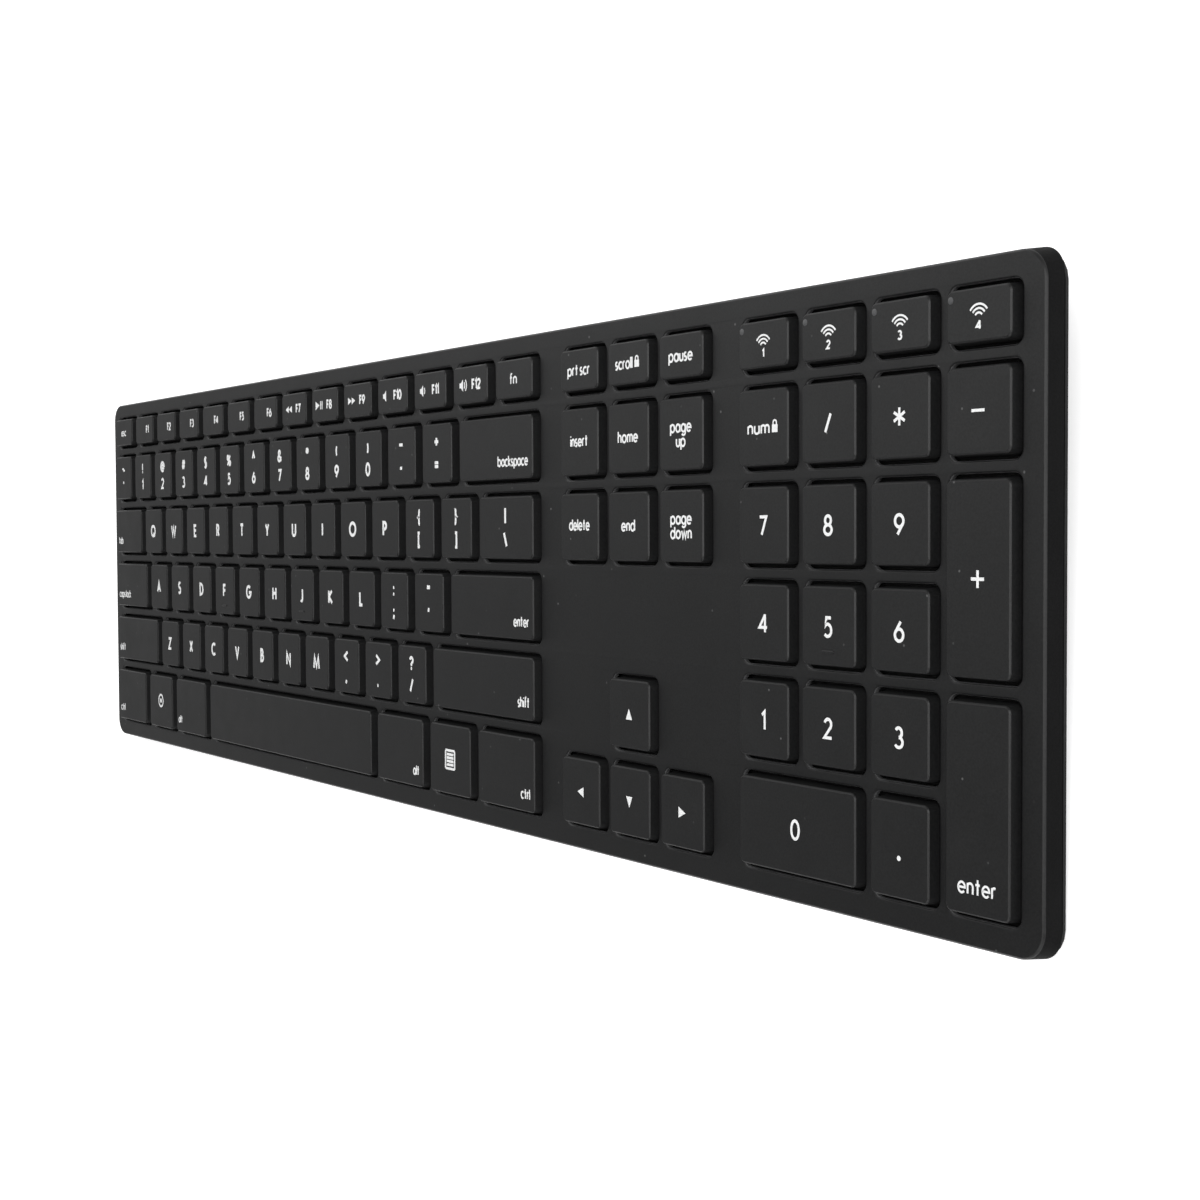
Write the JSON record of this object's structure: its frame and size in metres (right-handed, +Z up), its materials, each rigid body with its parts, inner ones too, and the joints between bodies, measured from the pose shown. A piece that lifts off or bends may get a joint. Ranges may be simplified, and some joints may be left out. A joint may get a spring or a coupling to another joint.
{
  "type": "full-size wireless keyboard with numeric keypad",
  "caption": "Slim black full-size keyboard: aluminium deck with separate wells for low keycaps, navigation block and numeric keypad, on a plastic base with a rear riser and rubber feet.",
  "frame": {"origin": "middle of the bottom of the box around the whole keyboard, on the desk plane between the feet", "axes": "+X to the right along the length, keypad at +X; +Y to the rear, away from the typist; +Z up"},
  "size_m": [0.443, 0.1186, 0.0184],
  "materials": {
    "anodised_deck": "fine bead-blasted black anodised",
    "keycap_plastic": "matte moulded black plastic with white printed legends",
    "cover_plastic": "fine textured black plastic",
    "plate_steel": "stamped sheet",
    "membrane_film": "film with printed tracks",
    "dome_rubber": "matte silicone",
    "board_laminate": "solder-masked laminate",
    "battery_foil": "satin foil pouch",
    "socket_steel": "plated sheet",
    "switch_plastic": "matte",
    "foot_rubber": "matte",
    "screw_steel": "zinc plated"
  },
  "bodies": {
    "case": {"top_case": "anodised_deck", "rubber_dome_sheet": "dome_rubber", "membrane_circuit": "membrane_film", "key_support_plate": "plate_steel", "bottom_cover": "cover_plastic", "battery_cell": "battery_foil", "main_circuit_board": "board_laminate", "charging_port": "socket_steel", "cover_screw_1": "screw_steel", "cover_screw_2": "screw_steel", "cover_screw_3": "screw_steel", "cover_screw_4": "screw_steel", "foot_front_left": "foot_rubber", "foot_rear_left": "foot_rubber", "foot_front_right": "foot_rubber", "foot_rear_right": "foot_rubber"},
    "key_print_screen": {"key_print_screen": "keycap_plastic"},
    "key_scroll_lock": {"key_scroll_lock": "keycap_plastic"},
    "key_pause": {"key_pause": "keycap_plastic"},
    "key_insert": {"key_insert": "keycap_plastic"},
    "key_home": {"key_home": "keycap_plastic"},
    "key_page_up": {"key_page_up": "keycap_plastic"},
    "key_delete": {"key_delete": "keycap_plastic"},
    "key_end": {"key_end": "keycap_plastic"},
    "key_page_down": {"key_page_down": "keycap_plastic"},
    "key_arrow_up": {"key_arrow_up": "keycap_plastic"},
    "key_arrow_left": {"key_arrow_left": "keycap_plastic"},
    "key_arrow_down": {"key_arrow_down": "keycap_plastic"},
    "key_arrow_right": {"key_arrow_right": "keycap_plastic"},
    "key_wireless_1": {"key_wireless_1": "keycap_plastic"},
    "key_wireless_2": {"key_wireless_2": "keycap_plastic"},
    "key_wireless_3": {"key_wireless_3": "keycap_plastic"},
    "key_wireless_4": {"key_wireless_4": "keycap_plastic"},
    "key_num_lock": {"key_num_lock": "keycap_plastic"},
    "key_pad_slash": {"key_pad_slash": "keycap_plastic"},
    "key_pad_asterisk": {"key_pad_asterisk": "keycap_plastic"},
    "key_pad_minus": {"key_pad_minus": "keycap_plastic"},
    "key_pad_7": {"key_pad_7": "keycap_plastic"},
    "key_pad_8": {"key_pad_8": "keycap_plastic"},
    "key_pad_9": {"key_pad_9": "keycap_plastic"},
    "key_pad_plus": {"key_pad_plus": "keycap_plastic"},
    "key_pad_4": {"key_pad_4": "keycap_plastic"},
    "key_pad_5": {"key_pad_5": "keycap_plastic"},
    "key_pad_6": {"key_pad_6": "keycap_plastic"},
    "key_pad_1": {"key_pad_1": "keycap_plastic"},
    "key_pad_2": {"key_pad_2": "keycap_plastic"},
    "key_pad_3": {"key_pad_3": "keycap_plastic"},
    "key_pad_enter": {"key_pad_enter": "keycap_plastic"},
    "key_pad_0": {"key_pad_0": "keycap_plastic"},
    "key_pad_point": {"key_pad_point": "keycap_plastic"},
    "key_escape": {"key_escape": "keycap_plastic"},
    "key_space": {"key_space": "keycap_plastic"},
    "key_bank_function_row": {"key_bank_function_row": "keycap_plastic"},
    "key_bank_number_row": {"key_bank_number_row": "keycap_plastic"},
    "key_bank_q_row": {"key_bank_q_row": "keycap_plastic"},
    "key_bank_a_row": {"key_bank_a_row": "keycap_plastic"},
    "key_bank_z_row": {"key_bank_z_row": "keycap_plastic"},
    "key_bank_left_modifiers": {"key_bank_left_modifiers": "keycap_plastic"},
    "key_bank_right_modifiers": {"key_bank_right_modifiers": "keycap_plastic"},
    "power_switch": {"power_switch": "switch_plastic"}
  },
  "joints": [
    {"name": "press_print_screen", "type": "slide", "parent": "case", "child": "key_print_screen", "axis": [0, 0.0958, -0.9954], "range_m": [0, 0.0015], "stiffness_N_per_m": 350, "springref_m": -0.0005},
    {"name": "press_scroll_lock", "type": "slide", "parent": "case", "child": "key_scroll_lock", "axis": [0, 0.0958, -0.9954], "range_m": [0, 0.0015], "stiffness_N_per_m": 350, "springref_m": -0.0005},
    {"name": "press_pause", "type": "slide", "parent": "case", "child": "key_pause", "axis": [0, 0.0958, -0.9954], "range_m": [0, 0.0015], "stiffness_N_per_m": 350, "springref_m": -0.0005},
    {"name": "press_insert", "type": "slide", "parent": "case", "child": "key_insert", "axis": [0, 0.0958, -0.9954], "range_m": [0, 0.0015], "stiffness_N_per_m": 350, "springref_m": -0.0005},
    {"name": "press_home", "type": "slide", "parent": "case", "child": "key_home", "axis": [0, 0.0958, -0.9954], "range_m": [0, 0.0015], "stiffness_N_per_m": 350, "springref_m": -0.0005},
    {"name": "press_page_up", "type": "slide", "parent": "case", "child": "key_page_up", "axis": [0, 0.0958, -0.9954], "range_m": [0, 0.0015], "stiffness_N_per_m": 350, "springref_m": -0.0005},
    {"name": "press_delete", "type": "slide", "parent": "case", "child": "key_delete", "axis": [0, 0.0958, -0.9954], "range_m": [0, 0.0015], "stiffness_N_per_m": 350, "springref_m": -0.0005},
    {"name": "press_end", "type": "slide", "parent": "case", "child": "key_end", "axis": [0, 0.0958, -0.9954], "range_m": [0, 0.0015], "stiffness_N_per_m": 350, "springref_m": -0.0005},
    {"name": "press_page_down", "type": "slide", "parent": "case", "child": "key_page_down", "axis": [0, 0.0958, -0.9954], "range_m": [0, 0.0015], "stiffness_N_per_m": 350, "springref_m": -0.0005},
    {"name": "press_arrow_up", "type": "slide", "parent": "case", "child": "key_arrow_up", "axis": [0, 0.0958, -0.9954], "range_m": [0, 0.0015], "stiffness_N_per_m": 350, "springref_m": -0.0005},
    {"name": "press_arrow_left", "type": "slide", "parent": "case", "child": "key_arrow_left", "axis": [0, 0.0958, -0.9954], "range_m": [0, 0.0015], "stiffness_N_per_m": 350, "springref_m": -0.0005},
    {"name": "press_arrow_down", "type": "slide", "parent": "case", "child": "key_arrow_down", "axis": [0, 0.0958, -0.9954], "range_m": [0, 0.0015], "stiffness_N_per_m": 350, "springref_m": -0.0005},
    {"name": "press_arrow_right", "type": "slide", "parent": "case", "child": "key_arrow_right", "axis": [0, 0.0958, -0.9954], "range_m": [0, 0.0015], "stiffness_N_per_m": 350, "springref_m": -0.0005},
    {"name": "press_wireless_1", "type": "slide", "parent": "case", "child": "key_wireless_1", "axis": [0, 0.0958, -0.9954], "range_m": [0, 0.0015], "stiffness_N_per_m": 350, "springref_m": -0.0005},
    {"name": "press_wireless_2", "type": "slide", "parent": "case", "child": "key_wireless_2", "axis": [0, 0.0958, -0.9954], "range_m": [0, 0.0015], "stiffness_N_per_m": 350, "springref_m": -0.0005},
    {"name": "press_wireless_3", "type": "slide", "parent": "case", "child": "key_wireless_3", "axis": [0, 0.0958, -0.9954], "range_m": [0, 0.0015], "stiffness_N_per_m": 350, "springref_m": -0.0005},
    {"name": "press_wireless_4", "type": "slide", "parent": "case", "child": "key_wireless_4", "axis": [0, 0.0958, -0.9954], "range_m": [0, 0.0015], "stiffness_N_per_m": 350, "springref_m": -0.0005},
    {"name": "press_num_lock", "type": "slide", "parent": "case", "child": "key_num_lock", "axis": [0, 0.0958, -0.9954], "range_m": [0, 0.0015], "stiffness_N_per_m": 350, "springref_m": -0.0005},
    {"name": "press_pad_slash", "type": "slide", "parent": "case", "child": "key_pad_slash", "axis": [0, 0.0958, -0.9954], "range_m": [0, 0.0015], "stiffness_N_per_m": 350, "springref_m": -0.0005},
    {"name": "press_pad_asterisk", "type": "slide", "parent": "case", "child": "key_pad_asterisk", "axis": [0, 0.0958, -0.9954], "range_m": [0, 0.0015], "stiffness_N_per_m": 350, "springref_m": -0.0005},
    {"name": "press_pad_minus", "type": "slide", "parent": "case", "child": "key_pad_minus", "axis": [0, 0.0958, -0.9954], "range_m": [0, 0.0015], "stiffness_N_per_m": 350, "springref_m": -0.0005},
    {"name": "press_pad_7", "type": "slide", "parent": "case", "child": "key_pad_7", "axis": [0, 0.0958, -0.9954], "range_m": [0, 0.0015], "stiffness_N_per_m": 350, "springref_m": -0.0005},
    {"name": "press_pad_8", "type": "slide", "parent": "case", "child": "key_pad_8", "axis": [0, 0.0958, -0.9954], "range_m": [0, 0.0015], "stiffness_N_per_m": 350, "springref_m": -0.0005},
    {"name": "press_pad_9", "type": "slide", "parent": "case", "child": "key_pad_9", "axis": [0, 0.0958, -0.9954], "range_m": [0, 0.0015], "stiffness_N_per_m": 350, "springref_m": -0.0005},
    {"name": "press_pad_plus", "type": "slide", "parent": "case", "child": "key_pad_plus", "axis": [0, 0.0958, -0.9954], "range_m": [0, 0.0015], "stiffness_N_per_m": 350, "springref_m": -0.0005},
    {"name": "press_pad_4", "type": "slide", "parent": "case", "child": "key_pad_4", "axis": [0, 0.0958, -0.9954], "range_m": [0, 0.0015], "stiffness_N_per_m": 350, "springref_m": -0.0005},
    {"name": "press_pad_5", "type": "slide", "parent": "case", "child": "key_pad_5", "axis": [0, 0.0958, -0.9954], "range_m": [0, 0.0015], "stiffness_N_per_m": 350, "springref_m": -0.0005},
    {"name": "press_pad_6", "type": "slide", "parent": "case", "child": "key_pad_6", "axis": [0, 0.0958, -0.9954], "range_m": [0, 0.0015], "stiffness_N_per_m": 350, "springref_m": -0.0005},
    {"name": "press_pad_1", "type": "slide", "parent": "case", "child": "key_pad_1", "axis": [0, 0.0958, -0.9954], "range_m": [0, 0.0015], "stiffness_N_per_m": 350, "springref_m": -0.0005},
    {"name": "press_pad_2", "type": "slide", "parent": "case", "child": "key_pad_2", "axis": [0, 0.0958, -0.9954], "range_m": [0, 0.0015], "stiffness_N_per_m": 350, "springref_m": -0.0005},
    {"name": "press_pad_3", "type": "slide", "parent": "case", "child": "key_pad_3", "axis": [0, 0.0958, -0.9954], "range_m": [0, 0.0015], "stiffness_N_per_m": 350, "springref_m": -0.0005},
    {"name": "press_pad_enter", "type": "slide", "parent": "case", "child": "key_pad_enter", "axis": [0, 0.0958, -0.9954], "range_m": [0, 0.0015], "stiffness_N_per_m": 350, "springref_m": -0.0005},
    {"name": "press_pad_0", "type": "slide", "parent": "case", "child": "key_pad_0", "axis": [0, 0.0958, -0.9954], "range_m": [0, 0.0015], "stiffness_N_per_m": 350, "springref_m": -0.0005},
    {"name": "press_pad_point", "type": "slide", "parent": "case", "child": "key_pad_point", "axis": [0, 0.0958, -0.9954], "range_m": [0, 0.0015], "stiffness_N_per_m": 350, "springref_m": -0.0005},
    {"name": "press_escape", "type": "slide", "parent": "case", "child": "key_escape", "axis": [0, 0.0958, -0.9954], "range_m": [0, 0.0015], "stiffness_N_per_m": 350, "springref_m": -0.0005},
    {"name": "press_space", "type": "slide", "parent": "case", "child": "key_space", "axis": [0, 0.0958, -0.9954], "range_m": [0, 0.0015], "stiffness_N_per_m": 350, "springref_m": -0.0005},
    {"name": "press_bank_function_row", "type": "slide", "parent": "case", "child": "key_bank_function_row", "axis": [0, 0.0958, -0.9954], "range_m": [0, 0.0015], "stiffness_N_per_m": 4550, "springref_m": -0.0005},
    {"name": "press_bank_number_row", "type": "slide", "parent": "case", "child": "key_bank_number_row", "axis": [0, 0.0958, -0.9954], "range_m": [0, 0.0015], "stiffness_N_per_m": 4900, "springref_m": -0.0005},
    {"name": "press_bank_q_row", "type": "slide", "parent": "case", "child": "key_bank_q_row", "axis": [0, 0.0958, -0.9954], "range_m": [0, 0.0015], "stiffness_N_per_m": 4900, "springref_m": -0.0005},
    {"name": "press_bank_a_row", "type": "slide", "parent": "case", "child": "key_bank_a_row", "axis": [0, 0.0958, -0.9954], "range_m": [0, 0.0015], "stiffness_N_per_m": 4550, "springref_m": -0.0005},
    {"name": "press_bank_z_row", "type": "slide", "parent": "case", "child": "key_bank_z_row", "axis": [0, 0.0958, -0.9954], "range_m": [0, 0.0015], "stiffness_N_per_m": 4200, "springref_m": -0.0005},
    {"name": "press_bank_left_modifiers", "type": "slide", "parent": "case", "child": "key_bank_left_modifiers", "axis": [0, 0.0958, -0.9954], "range_m": [0, 0.0015], "stiffness_N_per_m": 1050, "springref_m": -0.0005},
    {"name": "press_bank_right_modifiers", "type": "slide", "parent": "case", "child": "key_bank_right_modifiers", "axis": [0, 0.0958, -0.9954], "range_m": [0, 0.0015], "stiffness_N_per_m": 1050, "springref_m": -0.0005},
    {"name": "slide_power_switch", "type": "slide", "parent": "case", "child": "power_switch", "axis": [1, 0, 0], "range_m": [0, 0.003]}
  ]
}
